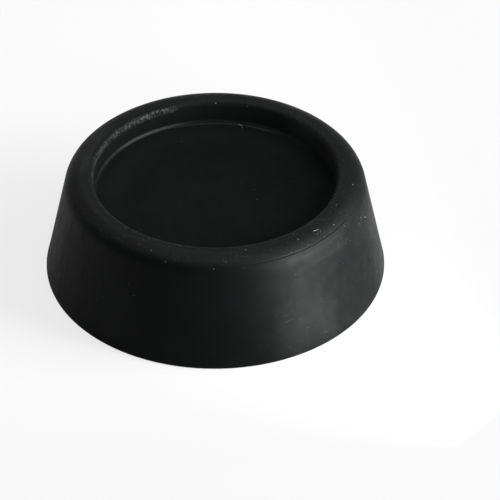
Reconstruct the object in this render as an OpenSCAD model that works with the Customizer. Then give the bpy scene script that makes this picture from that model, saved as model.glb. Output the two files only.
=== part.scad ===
// Rubber foot cup for a washing machine: a tapered, moulded cup, solid below the floor
// of a shallow round recess that takes the foot of the machine.
// It stands on its flat base, with the origin at the centre of the base and +Z up its axis.

/* [Body] */
// Diameter across the base, over its rounded edge
base_d = 70; // [58:0.5:110]
// Height from the base to the top of the rim
body_h = 23; // [16:0.5:40]
// Taper of the side wall: how far it leans in for each millimetre of height
side_taper = 0.225; // [0.05:0.005:0.25]
// Radius of the edge round the base
base_edge_r = 0.41; // [0.2:0.01:1.5]

/* [Rim] */
// Radius of the rounded shoulder between the side wall and the top of the rim
shoulder_r = 4.1; // [2:0.1:6]
// Radius of the lip between the top of the rim and the recess
lip_r = 1.2; // [0.4:0.1:1.8]

/* [Recess] */
// Diameter of the recess, across its straight wall
recess_d = 49.2; // [36:0.2:50.6]
// Depth of the recess, from the top of the rim to its floor
recess_depth = 5; // [4:0.1:10]
// Radius of the fillet where the recess wall meets its floor
floor_fillet_r = 0.5; // [0.3:0.1:1.8]

/* [Quality] */
// Number of steps round each full circle
smoothness = 180; // [48:12:360]

/* [Hidden] */

base_r = base_d / 2;
recess_r = recess_d / 2;
floor_z = body_h - recess_depth;

// Direction that the side wall faces in the half section, as a unit vector
wall_normal = [1, side_taper] / norm([1, side_taper]);

// Centre of the arc that runs from the base into the side wall
base_edge_centre = [base_r - base_edge_r, base_edge_r];
base_edge_end = base_edge_centre + base_edge_r * wall_normal;

// Centre of the arc that runs from the side wall into the top of the rim
shoulder_z = body_h - shoulder_r;
shoulder_end_z = shoulder_z + shoulder_r * wall_normal.y;
shoulder_end = [base_edge_end.x - side_taper * (shoulder_end_z - base_edge_end.y), shoulder_end_z];
shoulder_centre = shoulder_end - shoulder_r * wall_normal;

// The outside of the cup as half a section, with no recess
module outside_section() {
    polygon([
        [0, 0],
        [base_edge_centre.x, 0],
        base_edge_end,
        shoulder_end,
        [shoulder_centre.x, body_h],
        [0, body_h]
    ]);
    translate(base_edge_centre)
        circle(r = base_edge_r);
    translate(shoulder_centre)
        circle(r = shoulder_r);
}

// The recess as half a section: a flat floor, a filleted corner, a straight wall and a rounded lip
module recess_section() {
    fillet_centre = [recess_r - floor_fillet_r, floor_z + floor_fillet_r];
    lip_centre = [recess_r + lip_r, body_h - lip_r];
    translate([0, floor_z])
        square([fillet_centre.x, recess_depth]);
    translate([0, fillet_centre.y])
        square([recess_r, body_h - fillet_centre.y]);
    translate(fillet_centre)
        circle(r = floor_fillet_r);
    difference() {
        translate([0, lip_centre.y])
            square([lip_centre.x, lip_r]);
        translate(lip_centre)
            circle(r = lip_r);
    }
}

// The whole cup, moulded in one piece
module foot_cup() {
    color([0.035, 0.035, 0.037])
        rotate_extrude($fn = smoothness)
            difference() {
                outside_section();
                recess_section();
            }
}

foot_cup();
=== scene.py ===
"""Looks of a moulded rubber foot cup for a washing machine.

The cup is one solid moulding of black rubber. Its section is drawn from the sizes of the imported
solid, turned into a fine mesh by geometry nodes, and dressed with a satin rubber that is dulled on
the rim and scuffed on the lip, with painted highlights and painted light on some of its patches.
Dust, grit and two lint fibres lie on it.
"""

import logging
from dataclasses import dataclass, field, replace
from enum import Enum
from functools import reduce
from math import atan, cos, dist, pi, radians, sin, tau

import bpy
from mathutils import Matrix, Vector
from mathutils.bvhtree import BVHTree

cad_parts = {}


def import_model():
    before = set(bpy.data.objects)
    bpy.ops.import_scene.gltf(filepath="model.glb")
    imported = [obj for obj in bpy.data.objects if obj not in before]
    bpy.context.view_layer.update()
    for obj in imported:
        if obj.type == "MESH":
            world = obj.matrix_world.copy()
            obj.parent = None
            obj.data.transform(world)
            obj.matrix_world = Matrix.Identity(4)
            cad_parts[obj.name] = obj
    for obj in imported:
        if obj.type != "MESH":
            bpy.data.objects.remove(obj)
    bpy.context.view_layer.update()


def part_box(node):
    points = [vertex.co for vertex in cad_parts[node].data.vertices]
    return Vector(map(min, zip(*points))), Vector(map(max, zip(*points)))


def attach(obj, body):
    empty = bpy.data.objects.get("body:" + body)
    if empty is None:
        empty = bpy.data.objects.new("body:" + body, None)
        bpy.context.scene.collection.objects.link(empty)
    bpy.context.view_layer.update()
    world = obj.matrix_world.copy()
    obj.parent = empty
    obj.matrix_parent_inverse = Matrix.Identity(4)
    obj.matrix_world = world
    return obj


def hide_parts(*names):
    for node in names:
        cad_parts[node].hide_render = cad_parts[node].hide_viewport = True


MM = 0.001
NODE = "foot_cup"
BODY = "root"
FRAME_PIXELS = 500
SENSOR_WIDTH_MM = 36.0

log = logging.getLogger("foot_cup")

Point2 = tuple[float, float]
Colour = tuple[float, float, float]
Socket = bpy.types.NodeSocket
Piece = bpy.types.Object


@dataclass(frozen=True)
class Mottle:
    """A noise that is eased from start to end as it goes from low to high."""

    scale: float
    detail: float
    roughness: float
    seed: float
    low: float
    high: float
    start: float = 0.0
    end: float = 1.0


class NodeBoard:
    """A node tree under construction, with short ways to add and wire its nodes."""

    def __init__(self, tree: bpy.types.NodeTree) -> None:
        """Starts an empty board on a tree, and clears what the tree holds."""
        self.tree = tree
        tree.nodes.clear()

    def add(self, kind: str, inputs: dict[str | int, object] | None = None,
            **settings: object) -> bpy.types.Node:
        """Adds a node.

        Args:
            kind: Blender's name for the node type.
            inputs: What its inputs get, by name or number, each an output socket or a value.
            **settings: Properties of the node, by name.

        Returns:
            The new node.
        """
        node = self.tree.nodes.new(kind)
        for name, value in settings.items():
            setattr(node, name, value)
        for name, value in (inputs or {}).items():
            if isinstance(value, Socket):
                self.tree.links.new(value, node.inputs[name])
            else:
                node.inputs[name].default_value = value
        return node

    def sum(self, operation: str, *values: object) -> Socket:
        """Adds a Math node, with its operation and its inputs in order."""
        return self.add("ShaderNodeMath", dict(enumerate(values)), operation=operation).outputs[0]

    def total(self, start: float, *shares: tuple[Socket, object]) -> Socket:
        """Adds fields to a start, each times its share."""
        return reduce(lambda done, part: self.sum("MULTIPLY_ADD", *part, done), shares, start)

    def all_of(self, *parts: Socket) -> Socket:
        """Multiplies fields."""
        return reduce(lambda done, part: self.sum("MULTIPLY", done, part), parts)

    def vector(self, operation: str, *values: object) -> Socket:
        """Adds a Vector Math node.

        Args:
            operation: Its operation, such as "SCALE".
            *values: Its inputs in order. The second one of SCALE is a number.

        Returns:
            Its vector socket, or its value socket for LENGTH and DOT_PRODUCT.
        """
        names = (0, "Scale") if operation == "SCALE" else range(len(values))
        node = self.add("ShaderNodeVectorMath", dict(zip(names, values)), operation=operation)
        return node.outputs["Value" if operation in ("LENGTH", "DOT_PRODUCT") else "Vector"]

    def join(self, x: object = 0.0, y: object = 0.0, z: object = 0.0) -> Socket:
        """Makes three numbers one vector."""
        return self.add("ShaderNodeCombineXYZ", {0: x, 1: y, 2: z}).outputs[0]

    def split(self, vector: Socket) -> tuple[Socket, ...]:
        """Gives the three parts of a vector."""
        return tuple(self.add("ShaderNodeSeparateXYZ", {0: vector}).outputs)

    def ramp(self, value: Socket, low: float, high: float, start: float = 0.0,
             end: float = 1.0) -> Socket:
        """Eases a value from start, at and below low, to end, at and above high."""
        inputs = {"Value": value, "From Min": low, "From Max": high, "To Min": start, "To Max": end}
        return self.add("ShaderNodeMapRange", inputs, interpolation_type="SMOOTHSTEP").outputs[0]

    def noise(self, place: Socket, scale: float, detail: float, roughness: float,
              seed: object) -> Socket:
        """Adds a noise of so many waves to the metre, about 0.5 on average."""
        inputs = {"Vector": place, "W": seed, "Scale": scale, "Detail": detail, "Roughness": roughness}
        return self.add("ShaderNodeTexNoise", inputs, noise_dimensions="4D").outputs["Fac"]

    def mottle(self, look: Mottle, place: Socket) -> Socket:
        """Adds a noise and its ramp."""
        wave = self.noise(place, look.scale, look.detail, look.roughness, look.seed)
        return self.ramp(wave, look.low, look.high, look.start, look.end)

    def blend(self, factor: Socket, first: object, second: object) -> Socket:
        """Mixes two colours, where the factor is the share of the second."""
        first, second = ((*c, 1.0) if isinstance(c, tuple) else c for c in (first, second))
        return self.add("ShaderNodeMix", {0: factor, 6: first, 7: second}, data_type="RGBA").outputs[2]

    def bump(self, height: Socket, distance: float, **inputs: object) -> Socket:
        """Makes a surface stand out by a share of a distance in metres."""
        inputs |= {"Height": height, "Distance": distance}
        return self.add("ShaderNodeBump", inputs).outputs[0]

    def named(self, name: str, kind: str) -> Socket:
        """Reads an attribute of the mesh by its name and its data type."""
        node = self.add("GeometryNodeInputNamedAttribute", {"Name": name}, data_type=kind)
        return node.outputs["Attribute"]


class PaintBoard(NodeBoard):
    """The board of a new material."""

    def __init__(self, name: str) -> None:
        """Makes the material.

        Args:
            name: The material's name.
        """
        self.material = bpy.data.materials.new(name)
        self.material.use_nodes = True
        super().__init__(self.material.node_tree)

    def finish(self, kind: str, inputs: dict[str | int, object]) -> bpy.types.Material:
        """Gives the material, with a node of this kind and these inputs for its surface."""
        self.add("ShaderNodeOutputMaterial", {"Surface": self.add(kind, inputs).outputs[0]})
        return self.material


@dataclass(frozen=True)
class CupSizes:
    """Sizes of the cup, in metres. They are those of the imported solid."""

    base_radius: float
    height: float
    side_taper: float = 0.225
    base_edge: float = 0.41 * MM
    shoulder: float = 4.1 * MM
    lip: float = 1.2 * MM
    recess_radius: float = 24.6 * MM
    recess_depth: float = 5.0 * MM
    floor_fillet: float = 0.5 * MM

    @property
    def wall_angle(self) -> float:
        """Angle above level that the side wall faces, in radians."""
        return atan(self.side_taper)

    @property
    def face(self) -> Point2:
        """Way that the side wall faces in the half section."""
        return cos(self.wall_angle), sin(self.wall_angle)

    @property
    def floor_height(self) -> float:
        """Height of the recess floor above the base."""
        return self.height - self.recess_depth

    @property
    def lip_centre(self) -> Point2:
        """Centre of the lip's arc in the half section."""
        return self.recess_radius + self.lip, self.height - self.lip

    @property
    def fillet_centre(self) -> Point2:
        """Centre of the arc between the recess wall and its floor."""
        return self.recess_radius - self.floor_fillet, self.floor_height + self.floor_fillet

    @property
    def shoulder_centre(self) -> Point2:
        """Centre of the shoulder's arc in the half section.

        Returns:
            Its distance from the axis and its height.
        """
        foot_x = self.base_radius - self.base_edge + self.base_edge * self.face[0]
        foot_z = self.base_edge * (1 + self.face[1])
        centre_z = self.height - self.shoulder
        end_z = centre_z + self.shoulder * self.face[1]
        end_x = foot_x - self.side_taper * (end_z - foot_z)
        return end_x - self.shoulder * self.face[0], centre_z


@dataclass
class CupSection:
    """Half section of the cup, from the centre of its base round to the centre of the recess floor.

    Each point comes with a tuck: how far, and which way, the mould's witness line cuts in there.
    """

    sizes: CupSizes
    flat_step: float = 1.6 * MM
    side_step: float = 0.55 * MM
    arc_step: float = 0.14 * MM
    least_gap: float = 1e-4 * MM
    witness_angle: float = 40.5
    witness_width: float = 0.20 * MM
    witness_depth: float = 0.13 * MM
    witness_bottom: float = 0.35
    points: list[tuple[Point2, Point2]] = field(default_factory=list)

    def _put(self, point: Point2, tuck: Point2 = (0.0, 0.0)) -> None:
        """Adds a point and its tuck, unless it repeats the last point."""
        if not self.points or dist(point, self.points[-1][0]) > self.least_gap:
            self.points.append((point, tuck))

    def _line(self, end: Point2, step: float) -> None:
        """Runs straight on to a point.

        Args:
            end: The point.
            step: About how long each step is.
        """
        start = self.points[-1][0]
        count = max(1, round(dist(start, end) / step))
        for k in range(1, count + 1):
            t = k / count
            self._put((start[0] + (end[0] - start[0]) * t, start[1] + (end[1] - start[1]) * t))

    def _arc(self, centre: Point2, radius: float, start: float, end: float) -> None:
        """Runs round an arc between two angles in radians, cutting in at the witness line.

        Args:
            centre: Centre of the arc.
            radius: Its radius.
            start: Angle at its start, from the outward direction.
            end: Angle at its end.
        """
        count = max(3, round(abs(end - start) * radius / self.arc_step))
        marks = {start + (end - start) * k / count for k in range(count + 1)}
        line = radians(self.witness_angle)
        half = self.witness_width / 2 / radius
        bottom = self.witness_bottom * half
        on_shoulder = radius == self.sizes.shoulder
        if on_shoulder:
            marks = {a for a in marks if abs(a - line) > 1.6 * half}
            marks |= {line - half, line - bottom, line + bottom, line + half}
        for angle in sorted(marks, reverse=end < start):
            way = (cos(angle), sin(angle))
            depth = self.witness_depth if on_shoulder and abs(angle - line) < 0.5 * half else 0.0
            self._put((centre[0] + radius * way[0], centre[1] + radius * way[1]),
                      (-depth * way[0], -depth * way[1]))

    def draw(self) -> None:
        """Draws the whole half section."""
        s = self.sizes
        quarter = pi / 2
        base_x = s.base_radius - s.base_edge
        shoulder = s.shoulder_centre
        self._put((0.0, 0.0))
        self._line((base_x, 0.0), self.flat_step)
        self._arc((base_x, s.base_edge), s.base_edge, -quarter, s.wall_angle)
        self._line((shoulder[0] + s.shoulder * s.face[0], shoulder[1] + s.shoulder * s.face[1]),
                   self.side_step)
        self._arc(shoulder, s.shoulder, s.wall_angle, quarter)
        self._line((s.lip_centre[0], s.height), self.side_step)
        self._arc(s.lip_centre, s.lip, quarter, 2 * quarter)
        self._line((s.recess_radius, s.fillet_centre[1]), self.side_step)
        self._arc(s.fillet_centre, s.floor_fillet, 0.0, -quarter)
        self._line((0.0, s.floor_height), self.flat_step)

    def mesh(self) -> bpy.types.Mesh:
        """Makes the section a chain of edges in the XZ plane.

        Returns:
            The mesh, with each point's tuck as an attribute.
        """
        mesh = bpy.data.meshes.new("cup_section")
        corners = [(x, 0.0, z) for (x, z), _ in self.points]
        mesh.from_pydata(corners, [(k, k + 1) for k in range(len(corners) - 1)], [])
        tuck = mesh.attributes.new("tuck", "FLOAT_VECTOR", "POINT")
        for item, (_, (dx, dz)) in zip(tuck.data, self.points):
            item.vector = (dx, 0.0, dz)
        return mesh


SOCKET_KINDS = {int: "NodeSocketInt", float: "NodeSocketFloat",
                bpy.types.Material: "NodeSocketMaterial"}


def place_in_scene(name: str, data: bpy.types.ID) -> Piece:
    """Makes an object and links it to the scene.

    Args:
        name: The object's name.
        data: Its mesh, lamp or camera.

    Returns:
        The object.
    """
    item = bpy.data.objects.new(name, data)
    bpy.context.scene.collection.objects.link(item)
    return item


class GeometryTree(NodeBoard):
    """A geometry node tree with named inputs, run once on a mesh to give a plain piece."""

    def __init__(self, name: str, values: dict[str, object]) -> None:
        """Makes the tree and its named inputs.

        Args:
            name: The tree's name.
            values: What its inputs get, by name: whole numbers, sizes and the piece's Material.
        """
        super().__init__(bpy.data.node_groups.new(name, "GeometryNodeTree"))
        self.values = values
        face = self.tree.interface
        for way in ("INPUT", "OUTPUT"):
            face.new_socket("Geometry", in_out=way, socket_type="NodeSocketGeometry")
        self.sockets = {
            key: face.new_socket(key, in_out="INPUT", socket_type=SOCKET_KINDS[type(value)])
            for key, value in values.items()}
        self.source = self.add("NodeGroupInput").outputs

    def lumps(self, points: Socket, fineness: int, turn: Socket, radii: Socket) -> Socket:
        """Puts a ball of so many subdivisions at each point, turned and with its three radii."""
        ball = self.add("GeometryNodeMeshIcoSphere", {
            "Radius": 1.0, "Subdivisions": fineness}).outputs["Mesh"]
        return self.add("GeometryNodeInstanceOnPoints", {
            "Points": points, "Instance": ball, "Rotation": turn, "Scale": radii}).outputs[0]

    def run(self, geometry: Socket, mesh: bpy.types.Mesh, name: str) -> Piece:
        """Ends the tree in Realize Instances and Set Material, and runs it on a mesh.

        Args:
            geometry: What the tree has made.
            mesh: What the tree starts from.
            name: Name of the piece.

        Returns:
            A plain piece at the origin, with no modifier.
        """
        real = self.add("GeometryNodeRealizeInstances", {"Geometry": geometry})
        paint = self.add("GeometryNodeSetMaterial", {
            "Geometry": real.outputs["Geometry"], "Material": self.source["Material"]})
        self.add("NodeGroupOutput", {0: paint.outputs["Geometry"]})
        carrier = place_in_scene(name + "_carrier", mesh)
        modifier = carrier.modifiers.new("nodes", "NODES")
        modifier.node_group = self.tree
        for key, value in self.values.items():
            modifier[self.sockets[key].identifier] = value
        graph = bpy.context.evaluated_depsgraph_get()
        made = bpy.data.meshes.new_from_object(carrier.evaluated_get(graph))
        made.name = name
        made.materials.clear()
        made.materials.append(self.values["Material"])
        carrier.modifiers.clear()
        bpy.data.objects.remove(carrier)
        log.info("%s: %d vertices", name, len(made.vertices))
        return place_in_scene(name, made)


@dataclass(frozen=True)
class Reach:
    """How far a patch of the cup runs. Angles are in degrees and lengths in millimetres.

    It is full within one half angle and gone beyond the other. It comes in over the heights of
    rise and goes out over those of fall, and near and far do the same for the distance from the
    axis. Noise shifts the height and the distance of a ragged one by up to its two lengths.
    """

    azimuth: float
    full: float
    gone: float
    rise: Point2 | None = None
    fall: Point2 | None = None
    near: Point2 | None = None
    far: Point2 | None = None
    ragged: Point2 | None = None


ON_FLOOR = (18.2, 18.4)
IN_CORNER = (18.06, 18.42)
BY_WALL = (23.8, 24.15)
ON_SIDE = (27.0, 28.0)


class Patch(Enum):
    """Patches of the cup that dust, hands or the machine's foot have marked, and patches of painted
    highlight and painted light.
    """

    # Stretch of the lip that the machine's foot has chafed, its pale scuffs also a painted highlight,
    # and the two places where they are brightest.
    CHAFED_LIP_AND_HIGHLIGHT = Reach(149.0, 31.0, 44.0, rise=(21.9, 22.9), far=(25.34, 25.76), ragged=(1.6, 1.2))
    BACK_CHAFE_AND_HIGHLIGHT = Reach(122.0, 10.0, 26.0)
    LEFT_CHAFE_AND_HIGHLIGHT = Reach(168.0, 4.0, 16.0)
    # Painted highlight: a pale line in the corner of the recess, where the fillet catches the light.
    THICK_HIGHLIGHT_LINE = Reach(126.0, 2.0, 23.0, fall=IN_CORNER, near=BY_WALL)
    THIN_HIGHLIGHT_LINE = Reach(136.0, 10.0, 40.0, fall=IN_CORNER, near=BY_WALL)
    # Fainter painted highlight line, a little in from the wall.
    FAR_HIGHLIGHT_LINE = Reach(83.0, 14.0, 30.0, fall=ON_FLOOR, near=(23.37, 23.72), far=(23.88, 24.23))
    # Outer part of the recess floor, at the back, lightened with painted light against the wall's
    # shade.
    FLOOR_EDGE = Reach(118.0, 50.0, 95.0, fall=ON_FLOOR, near=(15.0, 22.5))
    # Right of the recess wall, out of the light, lightened with painted light.
    SHADED_WALL = Reach(6.0, 24.0, 50.0)
    # Front left of the shoulder, lightened with painted light.
    PAINTED_LIGHT_SHOULDER = Reach(-132.0, 38.0, 66.0, rise=(20.2, 21.6), near=(26.3, 27.2),
                           far=(28.9, 29.8))
    # Left of the rim, outside the lip.
    DUSTY_LEFT = Reach(162.0, 6.0, 24.0, near=(25.4, 26.0))
    # Crest of the lip from the right to the back, lightened with painted light.
    PAINTED_LIGHT_LIP = Reach(48.0, 44.0, 72.0, rise=(22.0, 22.4), near=(24.9, 25.2), far=(25.5, 25.8))
    # Right of the side wall, smeared by hands.
    HANDLED_SIDE = Reach(-34.0, 26.0, 48.0, fall=(17.5, 19.5), near=ON_SIDE)
    # Far right of the side wall, with a streaked painted highlight.
    EDGE_HIGHLIGHT_STREAKS = Reach(4.0, 0.5, 26.0, fall=(15.5, 18.5), near=ON_SIDE)
    # Right of the rim and shoulder, where grit has been ground in.
    GRITTY_CORNER = Reach(-30.0, 10.0, 19.0, rise=(15.0, 18.5), near=(24.9, 25.4))
    # Side wall just below the band of painted highlight that is under the witness line.
    SEAM_BAND = Reach(-54.0, 17.0, 24.0, rise=(14.5, 18.0), fall=(19.1, 19.3), near=ON_SIDE)
    # Strip under the witness line, with a painted highlight.
    HIGHLIGHT_BAND = Reach(-45.0, 7.0, 14.0, rise=(17.5, 18.1), fall=(20.4, 21.0), near=ON_SIDE)
    # Low right of the side wall, scuffed by being pushed about, with a painted highlight.
    SCUFFED_FOOT_AND_HIGHLIGHT = Reach(-57.0, 4.0, 15.5, fall=(6.5, 14.0), near=ON_SIDE)


class CupZones:
    """Parts of the cup's surface as fields from 0 to 1, for its material and for what lies on it."""

    def __init__(self, board: NodeBoard, sizes: CupSizes, place: Socket) -> None:
        """Splits a place into its distance from the axis, its height and its way round.

        Args:
            board: The board to build on.
            sizes: Sizes of the cup.
            place: Position on the cup, in metres.
        """
        self.board = board
        self.sizes = sizes
        self.place = place
        x, y, self.height = board.split(place)
        level = board.join(x, y)
        self.radius = board.vector("LENGTH", level)
        self.around = board.vector("NORMALIZE", level)

    def wrapped(self, radius: float, rise: float) -> Socket:
        """Wraps a pattern round the cup. A small radius draws it out sideways, a small rise up."""
        upright = self.board.vector("MULTIPLY", self.place, (0.0, 0.0, rise))
        return self.board.vector("ADD", self.board.vector("SCALE", self.around, radius), upright)

    def patch(self, patch: Patch) -> Socket:
        """Finds one of the marked patches.

        Args:
            patch: Which one.

        Returns:
            The field.
        """
        board, reach, height, radius = self.board, patch.value, self.height, self.radius
        if reach.ragged:
            shift = board.noise(self.place, 1300.0, 3.0, 0.65, 2.0)
            height = board.sum("MULTIPLY_ADD", shift, reach.ragged[0] * MM, height)
            radius = board.sum("MULTIPLY_ADD", shift, reach.ragged[1] * MM, radius)
        edges = ((height, reach.rise, 0.0), (height, reach.fall, 1.0),
                 (radius, reach.near, 0.0), (radius, reach.far, 1.0))
        parts = [board.ramp(value, ends[0] * MM, ends[1] * MM, start, 1.0 - start)
                 for value, ends, start in edges if ends]
        turn = radians(reach.azimuth)
        share = board.vector("DOT_PRODUCT", self.around, (cos(turn), sin(turn), 0.0))
        sector = board.ramp(share, cos(radians(reach.gone)),
                            cos(radians(reach.full)))
        return board.all_of(*parts, sector)

    def rim(self) -> Socket:
        """Top of the cup, with the upper part of the shoulder and the lip."""
        top = self.sizes.height
        return self.board.ramp(self.height, top - 2.2 * MM, top - 0.4 * MM)

    def recess(self) -> Socket:
        """Wall and floor of the recess."""
        edge = (self.sizes.recess_radius - 0.1 * MM, self.sizes.recess_radius + 0.5 * MM)
        return self.board.all_of(self.board.ramp(self.radius, *edge, 1.0, 0.0),
                                 self.board.ramp(self.height, 16 * MM, 17 * MM))

    def wall(self) -> Socket:
        """Upright wall of the recess."""
        floor = self.sizes.floor_height
        return self.board.all_of(
            self.recess(), self.board.ramp(self.height, floor + 0.2 * MM, floor + 0.7 * MM))

    def lip_wear_and_highlight(self) -> Socket:
        """Chafed stretch of the lip, whose pale scuffs also paint its highlight, strongest at the back
        left and a little stronger at the left.
        """
        chafe_and_highlight_strength = self.board.total(0.39, (self.patch(Patch.BACK_CHAFE_AND_HIGHLIGHT), 0.35),
                                 (self.patch(Patch.LEFT_CHAFE_AND_HIGHLIGHT), 0.08))
        return self.board.all_of(self.patch(Patch.CHAFED_LIP_AND_HIGHLIGHT), chafe_and_highlight_strength)

    def scuffed_foot_and_highlight(self) -> Socket:
        """Scuffed foot of the side wall with its painted highlight, less so towards the base."""
        lower = self.board.ramp(self.height, 0.5 * MM, 4.5 * MM, 0.5, 1.0)
        return self.board.all_of(self.patch(Patch.SCUFFED_FOOT_AND_HIGHLIGHT), lower)


@dataclass(frozen=True)
class RubberFinish:
    """Satin black moulded rubber: dull on the rim, scuffed on the lip, matt in the recess, with
    painted highlights and painted light on some patches.
    """

    side_colour: Colour = (0.0021, 0.0023, 0.0025)
    rim_colour: Colour = (0.0042, 0.0049, 0.0046)
    floor_colour: Colour = (0.0026, 0.0030, 0.0032)
    wall_colour: Colour = (0.0024, 0.0029, 0.0029)
    # Pale scuffs, also used for the painted highlight on the lip.
    scuff_and_highlight_colour: Colour = (0.080, 0.083, 0.080)
    # Colour of the painted highlight lines in the recess corner.
    highlight_line_colour: Colour = (0.050, 0.053, 0.050)
    # Colour of the dust, and of the painted light and painted highlights.
    dust_and_light_colour: Colour = (0.020, 0.0215, 0.0205)
    reflection_tint: Colour = (0.95, 1.0, 0.96)
    specular: float = 0.0625
    side_roughness: float = 0.49
    rim_roughness: float = 0.50
    floor_roughness: float = 0.74
    wall_roughness: float = 0.84
    smudges: Mottle = Mottle(95.0, 3.0, 0.55, 3.1, 0.35, 0.7, 0.84, 1.2)
    motes: Mottle = Mottle(1100.0, 4.0, 0.7, 9.1, 0.52, 0.74)
    smears: Mottle = Mottle(330.0, 5.0, 0.68, 11.1, 0.42, 0.74)
    strokes: Mottle = Mottle(2300.0, 3.0, 0.6, 6.1, 0.58, 0.72)
    nicks: Mottle = Mottle(1500.0, 3.0, 0.7, 14.1, 0.60, 0.72)
    torn_places: Mottle = Mottle(330.0, 2.0, 0.5, 10.1, 0.35, 0.6, 0.45, 1.0)
    dull_streaks: Mottle = Mottle(240.0, 3.0, 0.6, 5.1, 0.3, 0.7, -0.035, 0.035)
    dull_grain: Mottle = Mottle(700.0, 3.0, 0.6, 12.1, 0.3, 0.7, -0.04, 0.04)

    def material(self, sizes: CupSizes) -> bpy.types.Material:
        """Builds the material on Object coordinates.

        Args:
            sizes: Sizes of the cup, which place the rim, the lip and the recess.

        Returns:
            The material.
        """
        board = PaintBoard("satin_rubber")
        zones = CupZones(board, sizes, board.add("ShaderNodeTexCoord").outputs["Object"])
        chafe = board.noise(zones.wrapped(sizes.recess_radius, 0.45), 3400.0, 4.0, 0.75, 8.1)
        return board.finish("ShaderNodeBsdfPrincipled", {
            "Specular IOR Level": self.specular, "Specular Tint": (*self.reflection_tint, 1.0),
            "Base Color": self._colour(zones, chafe), "Roughness": self._roughness(zones),
            "Normal": self._bump(zones, chafe)})

    def _dust_and_painted_light(self, zones: CupZones) -> Socket:
        """Adds up the dust and the smears, and the painted light and painted highlights on some
        patches.

        Args:
            zones: Zones of the cup.

        Returns:
            The share of the colour that they take.
        """
        board, patch = zones.board, zones.patch
        motes, smears, streaks = (board.mottle(look, zones.place) for look in (
            self.motes, self.smears, replace(self.smears, start=0.6)))
        return board.total(
            0.0,
            # painted light on the front left of the shoulder
            (patch(Patch.PAINTED_LIGHT_SHOULDER), 0.21),
            (board.all_of(motes, zones.rim()), 0.22),
            (board.all_of(smears, patch(Patch.HANDLED_SIDE)), 0.16),
            # streaked painted highlight at the far right
            (board.all_of(streaks, patch(Patch.EDGE_HIGHLIGHT_STREAKS)), 0.5),
            # painted highlight under the witness line
            (patch(Patch.HIGHLIGHT_BAND), 0.16),
            # painted highlight on the scuffed foot
            (zones.scuffed_foot_and_highlight(), 0.24),
            # painted light on the outer recess floor
            (board.all_of(zones.recess(), patch(Patch.FLOOR_EDGE)), 0.15),
            # painted light on the lip's crest
            (patch(Patch.PAINTED_LIGHT_LIP), 0.22),
            (board.all_of(streaks, zones.rim(), patch(Patch.DUSTY_LEFT)), 0.5),
            # painted light on the shaded right of the wall
            (board.all_of(zones.wall(), patch(Patch.SHADED_WALL)), 0.56))

    def _colour(self, zones: CupZones, chafe: Socket) -> Socket:
        """Colour of the rubber, under its dust, smears and scuffs, with painted highlights and painted
        light laid on some patches.

        Args:
            zones: Zones of the cup.
            chafe: Upright streaks on the lip.

        Returns:
            The colour.
        """
        board, patch, place = zones.board, zones.patch, zones.place
        shade = board.blend(zones.rim(), self.side_colour, self.rim_colour)
        shade = board.blend(zones.recess(), shade, self.floor_colour)
        shade = board.blend(zones.wall(), shade, self.wall_colour)
        shade = board.vector("SCALE", shade, board.mottle(self.smudges, place))
        # Dust and smears, with painted light and painted highlights, in one pale colour.
        shade = board.blend(self._dust_and_painted_light(zones), shade, self.dust_and_light_colour)
        strokes = board.mottle(self.strokes, zones.wrapped(6.5 * MM, 1.0))
        # The corner line is a painted highlight where the fillet catches the light.
        line = board.total(0.0, (patch(Patch.THICK_HIGHLIGHT_LINE), 0.48), (patch(Patch.THIN_HIGHLIGHT_LINE), 0.22))
        broken = board.ramp(chafe, 0.3, 0.6, 0.6, 1.0)
        bright = board.ramp(chafe, 0.48, 0.60, 0.06, 1.4)
        torn = board.mottle(self.torn_places, place)
        marks = (
            (board.all_of(strokes, zones.scuffed_foot_and_highlight()), 0.22, self.scuff_and_highlight_colour),
            (board.all_of(board.mottle(self.nicks, place), patch(Patch.GRITTY_CORNER)), 0.11,
             self.scuff_and_highlight_colour),
            # Painted highlight lines in the recess corner.
            (board.all_of(zones.recess(), line, broken), 1.0, self.highlight_line_colour),
            # Fainter painted highlight line, further round.
            (board.all_of(zones.recess(), patch(Patch.FAR_HIGHLIGHT_LINE)), 0.34, self.highlight_line_colour),
            # Chafed lip, its pale scuffs also painted as the lip's highlight.
            (board.all_of(zones.lip_wear_and_highlight(), torn, bright), 1.0, self.scuff_and_highlight_colour),
        )
        for mark, share, colour in marks:
            shade = board.blend(board.sum("MULTIPLY", mark, share), shade, colour)
        return shade

    def _roughness(self, zones: CupZones) -> Socket:
        """Roughness, which varies in soft upright streaks on the side.

        Args:
            zones: Zones of the cup.

        Returns:
            The roughness.
        """
        board = zones.board
        level = board.total(
            self.side_roughness,
            (zones.rim(), self.rim_roughness - self.side_roughness),
            (zones.recess(), self.floor_roughness - self.side_roughness),
            (zones.wall(), self.wall_roughness - self.floor_roughness),
            (zones.patch(Patch.SEAM_BAND), 0.06),
            (zones.lip_wear_and_highlight(), 0.3))
        drawn = board.vector("MULTIPLY", zones.place, (1.0, 1.0, 0.12))
        level = board.sum("ADD", level, board.mottle(self.dull_streaks, drawn))
        return board.sum("ADD", level, board.mottle(self.dull_grain, zones.place))

    def _bump(self, zones: CupZones, chafe: Socket) -> Socket:
        """Fine moulded grain, and torn streaks on the chafed lip.

        Args:
            zones: Zones of the cup.
            chafe: Upright streaks on the lip.

        Returns:
            The normal.
        """
        board = zones.board
        grain = board.noise(zones.place, 2200.0, 3.0, 0.6, 4.1)
        return board.bump(chafe, 0.30 * MM, Strength=board.sum("MULTIPLY", zones.lip_wear_and_highlight(), 0.9),
                          Normal=board.bump(grain, 0.02 * MM, Strength=0.6))


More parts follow.
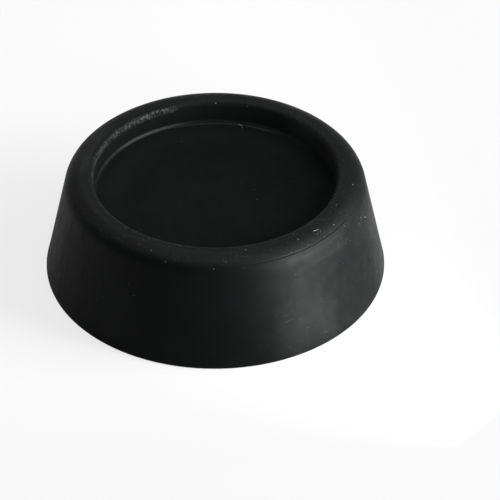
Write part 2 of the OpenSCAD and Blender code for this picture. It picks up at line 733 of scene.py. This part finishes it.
@dataclass(frozen=True)
class DustFinish:
    """Pale, matt, slightly uneven dust, grit or lint."""

    name: str
    dark: Colour
    pale: Colour
    roughness: float = 0.9
    unevenness: float = 0.08
    specular: float = 0.2
    seed: float = 5.0

    def material(self) -> bpy.types.Material:
        """Builds the material on Object coordinates.

        Returns:
            The material.
        """
        board = PaintBoard(self.name)
        place = board.add("ShaderNodeTexCoord").outputs["Object"]
        tone = board.mottle(Mottle(900.0, 2.0, 0.5, self.seed, 0.35, 0.65), place)
        fine = board.noise(place, 9000.0, 2.0, 0.5, self.seed + 1)
        dull = board.ramp(fine, 0.3, 0.7, self.roughness - self.unevenness,
                          self.roughness + self.unevenness)
        return board.finish("ShaderNodeBsdfPrincipled", {
            "Specular IOR Level": self.specular, "Roughness": dull,
            "Base Color": board.blend(tone, self.dark, self.pale),
            "Normal": board.bump(fine, 0.01 * MM)})


GRIT = DustFinish("pale_grit", (0.12, 0.125, 0.12), (0.36, 0.36, 0.34))
CRUMB = DustFinish("rubber_crumb", (0.04, 0.042, 0.04), (0.17, 0.175, 0.17), seed=8.0)
LINT = DustFinish("white_lint", (0.34, 0.34, 0.33), (0.52, 0.52, 0.50), seed=11.0)


@dataclass
class FootCup:
    """The moulded cup: its section, turned and rippled as rubber comes from its mould."""

    sizes: CupSizes
    finish: RubberFinish = field(default_factory=RubberFinish)
    steps_round: int = 480
    weld: float = 0.001 * MM
    ripple_height: float = 0.08 * MM
    ripple_size: float = 14.0 * MM
    witness_azimuth: float = -52.0
    witness_span: Point2 = (0.86, 0.94)
    witness_faint: float = 0.06
    seed: int = 7

    def build(self) -> Piece:
        """Makes the cup, by a tree that turns its section, and dresses it.

        Returns:
            The finished piece.
        """
        section = CupSection(self.sizes)
        section.draw()
        made = GeometryTree("turn_section", {
            "Steps Round": self.steps_round, "Section Points": len(section.points),
            "Ripple Height": self.ripple_height, "Ripple Size": self.ripple_size,
            "Seed": self.seed, "Material": self.finish.material(self.sizes)})
        return made.run(self._turned(made), section.mesh(), "rubber_cup")

    def _turned(self, made: GeometryTree) -> Socket:
        """Turns the section, cuts the witness line and ripples the result.

        Args:
            made: The tree being built.

        Returns:
            The cup.
        """
        source = made.source
        grid = made.add("GeometryNodeMeshGrid", {
            "Vertices X": made.sum("ADD", source["Steps Round"], 1.0),
            "Vertices Y": source["Section Points"]}).outputs["Mesh"]
        index = made.add("GeometryNodeInputIndex").outputs[0]
        along = made.sum("MODULO", index, source["Section Points"])
        turn = made.sum("FLOOR", made.sum("DIVIDE", index, source["Section Points"]))
        angle = made.sum("MULTIPLY", made.sum("DIVIDE", turn, source["Steps Round"]), tau)
        around = made.join(made.sum("COSINE", angle), made.sum("SINE", angle))
        spot, tuck = (
            made.add("GeometryNodeSampleIndex", {
                "Geometry": source["Geometry"], "Value": value, "Index": along},
                data_type="FLOAT_VECTOR", domain="POINT").outputs["Value"]
            for value in (made.add("GeometryNodeInputPosition").outputs[0],
                          made.named("tuck", "FLOAT_VECTOR")))
        cut = made.vector("ADD", spot, made.vector("SCALE", tuck, self._witness(made, around)))
        reach, _, height = made.split(cut)
        place = made.vector("ADD", made.vector("SCALE", around, reach), made.join(z=height))
        cup = made.add("GeometryNodeSetPosition", {"Geometry": grid, "Position": place}).outputs[0]
        cup = made.add("GeometryNodeMergeByDistance", {
            "Geometry": cup, "Distance": self.weld}).outputs[0]
        return made.add("GeometryNodeSetShadeSmooth", {
            "Geometry": self._rippled(made, cup)}).outputs[0]

    def _witness(self, made: GeometryTree, around: Socket) -> Socket:
        """Finds how deep the witness line is, which fades away from its clearest place.

        Args:
            made: The tree being built.
            around: Way round the cup.

        Returns:
            The share of its full depth.
        """
        clear = radians(self.witness_azimuth)
        turned = made.vector("DOT_PRODUCT", around, (cos(clear), sin(clear), 0.0))
        wave = made.noise(around, 2.3, 2.0, 0.5, made.source["Seed"])
        return made.sum("MULTIPLY", made.ramp(wave, 0.3, 0.6, 0.45, 1.0),
                        made.ramp(turned, *self.witness_span, self.witness_faint, 1.0))

    def _rippled(self, made: GeometryTree, mesh: Socket) -> Socket:
        """Adds the slight unevenness of moulded rubber, always inwards, and none at the base.

        Args:
            made: The tree being built.
            mesh: The turned cup.

        Returns:
            The rippled cup.
        """
        source = made.source
        place = made.add("GeometryNodeInputPosition").outputs[0]
        drawn = made.vector("MULTIPLY", place, (1.0, 1.0, 0.35))
        scaled = made.vector("SCALE", drawn, made.sum("DIVIDE", 1.0, source["Ripple Size"]))
        wave = made.noise(scaled, 1.0, 1.5, 0.45, source["Seed"])
        inward = made.sum("MINIMUM", made.sum("SUBTRACT", wave, 0.95), 0.0)
        lift = made.ramp(made.split(place)[2], 0.6 * MM, 4.0 * MM)
        push = made.all_of(inward, lift, source["Ripple Height"])
        normal = made.add("GeometryNodeInputNormal").outputs[0]
        return made.add("GeometryNodeSetPosition", {
            "Geometry": mesh, "Offset": made.vector("SCALE", normal, push)}).outputs[0]


@dataclass(frozen=True)
class Camera:
    """The camera. It stands back from the cup and is aimed a little off it."""

    base_radius: float
    distance_in_radii: float = 15.0
    elevation: float = 0.6479
    pixels_per_radius: float = 170.59
    target_height_in_radii: float = 0.3
    target_pixel: Point2 = (214.88, 219.31)
    roll: float = -0.0045
    middle_pixel: float = (FRAME_PIXELS - 1) / 2
    nearest: float = 0.01
    farthest: float = 50.0

    @property
    def focal_pixels(self) -> float:
        """Focal length in pixels of the frame."""
        return self.pixels_per_radius * self.distance_in_radii

    def axes(self) -> tuple[Vector, Matrix]:
        """Works out where the camera stands and how it is turned.

        Returns:
            Its place, and a matrix whose columns are its right, up and back.
        """
        reach = self.distance_in_radii * self.base_radius
        target = Vector((0.0, 0.0, self.target_height_in_radii * self.base_radius))
        back = Vector((0.0, -cos(self.elevation), sin(self.elevation)))
        right = Vector((1.0, 0.0, 0.0))
        turned = Matrix((right, back.cross(right), back)).transposed()
        off_x, off_y = (atan((pixel - self.middle_pixel) / self.focal_pixels)
                        for pixel in self.target_pixel)
        aim = Matrix.Rotation(self.roll, 3, "Z") @ Matrix.Rotation(off_x, 3, "Y")
        return target + back * reach, turned @ aim @ Matrix.Rotation(off_y, 3, "X")

    def ray(self, pixel: Point2) -> tuple[Vector, Vector]:
        """Finds the line of sight through a pixel.

        Args:
            pixel: Pixel of the frame, counted from its top left.

        Returns:
            Where the line starts and its direction.
        """
        place, axes = self.axes()
        way = Vector(((pixel[0] - self.middle_pixel) / self.focal_pixels,
                      (self.middle_pixel - pixel[1]) / self.focal_pixels, -1.0))
        return place, (axes @ way).normalized()

    def build(self) -> None:
        """Makes the camera and gives it to the scene."""
        data = bpy.data.cameras.new("camera")
        data.sensor_width = SENSOR_WIDTH_MM
        data.lens = self.focal_pixels * SENSOR_WIDTH_MM / FRAME_PIXELS
        data.clip_start, data.clip_end = self.nearest, self.farthest
        camera = place_in_scene("camera", data)
        place, axes = self.axes()
        camera.matrix_world = Matrix.Translation(place) @ axes.to_4x4()
        bpy.context.scene.camera = camera


@dataclass(frozen=True)
class Scatter:
    """Small lumps strewn over the cup by geometry nodes. Densities are lumps to the square metre."""

    name: str
    finish: DustFinish
    lip: float = 0.0
    rim: float = 0.0
    floor: float = 0.0
    side: float = 0.0
    corner: float = 0.0
    smallest: float = 0.015 * MM
    largest: float = 0.05 * MM
    mostly_small: float = 2.6
    seed: int = 1

    def build(self, cup: Piece, sizes: CupSizes) -> Piece:
        """Strews the lumps.

        Args:
            cup: The finished cup.
            sizes: Its sizes.

        Returns:
            All the lumps as one piece.
        """
        made = GeometryTree("strew_" + self.name, {
            "Lip Density": self.lip, "Rim Density": self.rim, "Floor Density": self.floor,
            "Side Density": self.side, "Corner Density": self.corner,
            "Smallest": self.smallest, "Largest": self.largest, "Seed": self.seed,
            "Material": self.finish.material()})
        source = made.source
        strewn = made.add("GeometryNodeDistributePointsOnFaces", {
            "Mesh": source["Geometry"], "Density": self._density(made, sizes),
            "Seed": source["Seed"]}).outputs
        span = made.sum("SUBTRACT", source["Largest"], source["Smallest"])
        chance = made.sum("POWER", self._random(made, 0.0, 1), self.mostly_small)
        reach = made.sum("MULTIPLY_ADD", chance, span, source["Smallest"])
        radii = made.join(reach, made.sum("MULTIPLY", reach, self._random(made, 0.5, 2)),
                          made.sum("MULTIPLY", reach, 0.5))
        lumps = made.lumps(strewn["Points"], 1, strewn["Rotation"], radii)
        return made.run(lumps, cup.data.copy(), self.name)

    def _density(self, made: GeometryTree, sizes: CupSizes) -> Socket:
        """Adds up the densities of the zones, and leaves the highest and lowest places bare.

        Args:
            made: The tree being built.
            sizes: Sizes of the cup.

        Returns:
            The density field.
        """
        zones = CupZones(made, sizes, made.add("GeometryNodeInputPosition").outputs[0])
        rim = made.sum("SUBTRACT", zones.rim(), zones.recess())
        floor = made.sum("SUBTRACT", zones.recess(), zones.wall())
        side = made.all_of(made.ramp(zones.radius, 29.5 * MM, 30.0 * MM),
                           made.ramp(zones.height, 19.5 * MM, 21.0 * MM, 1.0, 0.0),
                           made.ramp(zones.height, 0.8 * MM, 1.4 * MM),
                           made.total(1.0, (zones.patch(Patch.HANDLED_SIDE), 3.0)))
        wave = made.noise(zones.place, 160.0, 3.0, 0.6, made.source["Seed"])
        density = made.total(
            0.0, (zones.lip_wear_and_highlight(), made.source["Lip Density"]),
            *((made.sum("MAXIMUM", zone, 0.0), made.source[name + " Density"]) for zone, name in (
                (rim, "Rim"), (floor, "Floor"), (side, "Side"),
                (zones.patch(Patch.GRITTY_CORNER), "Corner"))))
        return made.all_of(density, made.ramp(wave, 0.35, 0.7, 0.1, 2.2))

    def _random(self, made: GeometryTree, low: float, shift: int) -> Socket:
        """Gives each lump a random number up to 1. The shift is added to the seed."""
        seed = made.sum("ADD", made.source["Seed"], float(shift))
        return made.add("FunctionNodeRandomValue", {2: low, 3: 1.0, "Seed": seed},
                        data_type="FLOAT").outputs[1]


STREWN = (
    Scatter("lip_crumbs", CRUMB, lip=3.2e6, largest=0.07 * MM, seed=21),
    Scatter("rim_dust", GRIT, rim=8.0e5, floor=3.0e4, side=2.5e4, corner=6.0e5,
            largest=0.060 * MM, seed=34),
)


class LargeGrain(Enum):
    """Pixels of the frame, from its top left, under the larger grains."""

    FRONT_LEFT = (179.2, 245.8)
    FRONT_RIGHT = (245.1, 249.4)
    FAR_LEFT = (150.6, 250.0)
    BACK_LIP = (215.4, 102.5)
    RIGHT_RIM = (292.9, 233.9)
    SHOULDER = (359.9, 216.9)
    SHOULDER_EDGE = (364.4, 216.5)


class SmallGrain(Enum):
    """Pixels of the frame, from its top left, under the smaller grains."""

    FRONT_MIDDLE = (225.5, 261.5)
    FRONT_LOW = (213.4, 268.5)
    BACK_LIP_RIGHT = (247.0, 105.8)
    RIGHT_RIM_LOW = (297.5, 238.6)
    RIGHT_LIP = (335.7, 204.4)
    RIGHT_LIP_UPPER = (334.7, 197.4)
    RIGHT_LIP_LOW = (309.6, 221.5)
    SHOULDER_LOW = (343.7, 225.3)
    LEFT_RIM = (125.2, 228.0)
    LEFT_FOOT = (61.5, 301.5)
    SEAM = (291.1, 251.4)
    SHOULDER_HIGH = (362.4, 211.6)
    SHOULDER_FOOT = (358.8, 222.8)
    SHOULDER_END = (364.0, 222.2)
    SHOULDER_FRONT = (333.2, 224.2)
    RIM_FRONT = (324.2, 236.4)
    RIM_RIGHT = (352.0, 184.2)
    RIM_RIGHT_LOW = (331.2, 206.4)
    RIM_LEFT_LOW = (198.2, 249.2)
    SIDE_LEFT = (165.0, 261.2)
    SIDE_RIGHT = (376.2, 270.4)
    SIDE_FRONT = (295.2, 274.0)


@dataclass(frozen=True)
class Fibre:
    """A lint fibre, by the pixels of the frame under its two ends and its bend."""

    start: Point2
    bend: Point2
    end: Point2
    radius: float


RIM_FIBRE = Fibre(start=(312.6, 231.2), bend=(316.2, 229.2), end=(319.0, 229.2),
                  radius=0.017 * MM)
FLOOR_FIBRE = Fibre(start=(238.0, 124.0), bend=(241.0, 124.4), end=(242.4, 127.6),
                    radius=0.048 * MM)


@dataclass
class Flecks:
    """The larger grit and the lint fibres, each at its own place."""

    cup: Piece
    camera: Camera
    ceiling: float
    large_radius: float = 0.115 * MM
    small_radius: float = 0.072 * MM
    flatness: float = 0.55
    headroom: float = 0.58
    fibres: tuple[Fibre, ...] = (RIM_FIBRE, FLOOR_FIBRE)
    fibre_steps: int = 14
    fibre_sides: int = 7

    def __post_init__(self) -> None:
        """Makes the cup's surface ready for sight lines."""
        mesh = self.cup.data
        corners = [v.co.copy() for v in mesh.vertices]
        self.surface = BVHTree.FromPolygons(corners, [tuple(p.vertices) for p in mesh.polygons])

    def _under(self, pixel: Point2) -> tuple[Vector, Vector]:
        """Finds the place on the cup under a pixel.

        Args:
            pixel: Pixel of the frame.

        Returns:
            The place and the way that the surface faces there.
        """
        start, way = self.camera.ray(pixel)
        place, facing, _, _ = self.surface.ray_cast(start, way)
        if place is None:
            raise ValueError(f"no part of the cup lies under pixel {pixel}")
        return place, facing

    def build_grit(self) -> Piece:
        """Makes the grit, and keeps each grain under the top of the cup.

        Returns:
            All the grit as one piece.
        """
        grains = [(grain, self.large_radius) for grain in LargeGrain]
        grains += [(grain, self.small_radius) for grain in SmallGrain]
        found = [(*self._under(grain.value), radius) for grain, radius in grains]
        for place, _, radius in found:
            place.z = min(place.z, self.ceiling - self.headroom * radius)
        mesh = bpy.data.meshes.new("grit_places")
        mesh.from_pydata([place for place, _, _ in found], [], [])
        for name, kind in (("facing", "FLOAT_VECTOR"), ("reach", "FLOAT")):
            mesh.attributes.new(name, kind, "POINT")
        for k, (_, way, radius) in enumerate(found):
            mesh.attributes["facing"].data[k].vector = way
            mesh.attributes["reach"].data[k].value = radius
        made = GeometryTree("place_grit", {"Flatness": self.flatness, "Material": GRIT.material()})
        source = made.source
        turn = made.add("FunctionNodeAlignRotationToVector", {
            "Vector": made.named("facing", "FLOAT_VECTOR")}, axis="Z").outputs[0]
        radii = made.vector("SCALE", made.join(1.0, 0.8, source["Flatness"]),
                            made.named("reach", "FLOAT"))
        return made.run(made.lumps(source["Geometry"], 2, turn, radii), mesh, "grit")

    def build_lint(self) -> Piece:
        """Makes the lint fibres, which lie on the surface and taper to their ends.

        Returns:
            All the fibres as one piece.
        """
        corners: list[Vector] = []
        edges: list[tuple[int, int]] = []
        radii: list[float] = []
        for fibre in self.fibres:
            first = len(corners)
            a, b, c = Vector(fibre.start), Vector(fibre.bend), Vector(fibre.end)
            for k in range(self.fibre_steps + 1):
                t = k / self.fibre_steps
                pixel = a * (1 - t) ** 2 + b * 2 * t * (1 - t) + c * t ** 2
                place, facing = self._under((pixel.x, pixel.y))
                corners.append(place + facing * fibre.radius * 0.9)
                radii.append(fibre.radius * (0.45 + 0.55 * sin(pi * (0.1 + 0.8 * t))))
            edges += [(k, k + 1) for k in range(first, first + self.fibre_steps)]
        mesh = bpy.data.meshes.new("fibre_paths")
        mesh.from_pydata(corners, edges, [])
        mesh.attributes.new("reach", "FLOAT", "POINT").data.foreach_set("value", radii)
        made = GeometryTree("spin_fibres", {
            "Sides": self.fibre_sides, "Material": LINT.material()})
        line = made.add("GeometryNodeMeshToCurve", {"Mesh": made.source["Geometry"]}).outputs[0]
        ring = made.add("GeometryNodeCurvePrimitiveCircle", {
            "Resolution": made.source["Sides"], "Radius": 1.0}).outputs[0]
        tubes = made.add("GeometryNodeCurveToMesh", {
            "Curve": line, "Profile Curve": ring, "Scale": made.named("reach", "FLOAT"),
            "Fill Caps": True}).outputs[0]
        return made.run(tubes, mesh, "lint")


@dataclass(frozen=True)
class Softbox:
    """A rectangular lamp near or round the cup. Angles are in degrees and sizes in metres."""

    name: str
    azimuth: float
    reach: float
    lift: float
    width: float
    height: float
    radiance: float
    aim_height: float = 0.01
    spread: float = 180.0

    def build(self) -> None:
        """Makes the lamp, facing the cup's axis."""
        turn = radians(self.azimuth)
        place = Vector((self.reach * cos(turn), self.reach * sin(turn), self.lift))
        data = bpy.data.lights.new(self.name, "AREA")
        data.shape = "RECTANGLE"
        data.size, data.size_y = self.width, self.height
        data.spread = radians(self.spread)
        data.energy = self.radiance * pi * self.width * self.height
        lamp = place_in_scene(self.name, data)
        lamp.location = place
        way = Vector((0.0, 0.0, self.aim_height)) - place
        lamp.rotation_euler = way.to_track_quat("-Z", "Y").to_euler()


@dataclass(frozen=True)
class Studio:
    """A pale floor, a pale surround and a few soft lamps."""

    floor_radius: float = 3.0
    floor_sides: int = 64
    floor_colour: Colour = (0.84, 0.84, 0.84)
    floor_glow: float = 0.7
    mirrored_glow: float = 0.08
    surround: float = 0.4
    boxes: tuple[Softbox, ...] = (
        Softbox("key_strip", -43.0, 0.075, 0.052, 0.022, 0.100, 12.0, aim_height=0.052,
                spread=100.0),
        Softbox("side_box", -8.0, 0.97, 0.25, 0.60, 0.48, 17.5),
        Softbox("side_high", 15.0, 0.74, 0.68, 0.50, 0.30, 2.9),
        Softbox("back_high", 92.0, 0.74, 0.68, 0.50, 0.30, 1.2),
        Softbox("back_low", 92.0, 0.99, 0.15, 0.60, 0.25, 0.85),
        Softbox("top_box", 160.0, 0.41, 0.92, 0.45, 0.45, 1.9),
        Softbox("left_box", 160.0, 0.91, 0.42, 0.30, 0.30, 0.7),
    )

    def build(self) -> None:
        """Makes the floor, the surround and the lamps."""
        self._floor()
        self._world()
        bpy.context.scene.view_settings.view_transform = "Standard"
        for box in self.boxes:
            box.build()
        log.info("studio: %d lamps", len(self.boxes))

    def _floor_finish(self) -> bpy.types.Material:
        """Pale paper that glows a little where the camera or a mirror sees it.

        Returns:
            The material.
        """
        board = PaintBoard("pale_floor")
        paper = board.add("ShaderNodeBsdfDiffuse", {"Color": (*self.floor_colour, 1.0)})
        glow = board.add("ShaderNodeEmission")
        rays = board.add("ShaderNodeLightPath").outputs
        mirrored = board.sum("ADD", rays["Is Glossy Ray"], rays["Is Transmission Ray"])
        seen = board.total(0.0, (rays["Is Camera Ray"], self.floor_glow),
                           (mirrored, self.mirrored_glow))
        return board.finish("ShaderNodeMixShader", {
            "Fac": seen, 1: paper.outputs[0], 2: glow.outputs[0]})

    def _floor(self) -> None:
        """Makes the round floor, which keeps the cup's shadow."""
        mesh = bpy.data.meshes.new("floor")
        turns = [tau * k / self.floor_sides for k in range(self.floor_sides)]
        ring = [(self.floor_radius * cos(turn), self.floor_radius * sin(turn), 0.0)
                for turn in turns]
        mesh.from_pydata(ring, [], [tuple(range(self.floor_sides))])
        mesh.materials.append(self._floor_finish())
        floor = place_in_scene("floor", mesh)

    def _world(self) -> None:
        """Makes the plain pale surround."""
        world = bpy.data.worlds.new("surround")
        world.use_nodes = True
        board = NodeBoard(world.node_tree)
        sky = board.add("ShaderNodeBackground", {
            "Strength": self.surround, "Color": (1.0, 1.0, 1.0, 1.0)})
        board.add("ShaderNodeOutputWorld", {"Surface": sky.outputs[0]})
        bpy.context.scene.world = world


def main() -> None:
    """Builds the camera, the cup, what lies on it and the studio, in that order."""
    logging.basicConfig(level=logging.INFO, format="%(name)s: %(message)s")
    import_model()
    low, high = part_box(NODE)
    sizes = CupSizes(base_radius=(high.x - low.x) / 2, height=high.z - low.z)
    camera = Camera(sizes.base_radius)
    camera.build()
    cup = FootCup(sizes).build()
    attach(cup, BODY)
    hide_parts(NODE)
    flecks = Flecks(cup, camera, ceiling=sizes.height)
    for piece in (flecks.build_grit(), flecks.build_lint(), *(s.build(cup, sizes) for s in STREWN)):
        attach(piece, BODY)
    Studio().build()


if __name__ == "__main__":
    main()
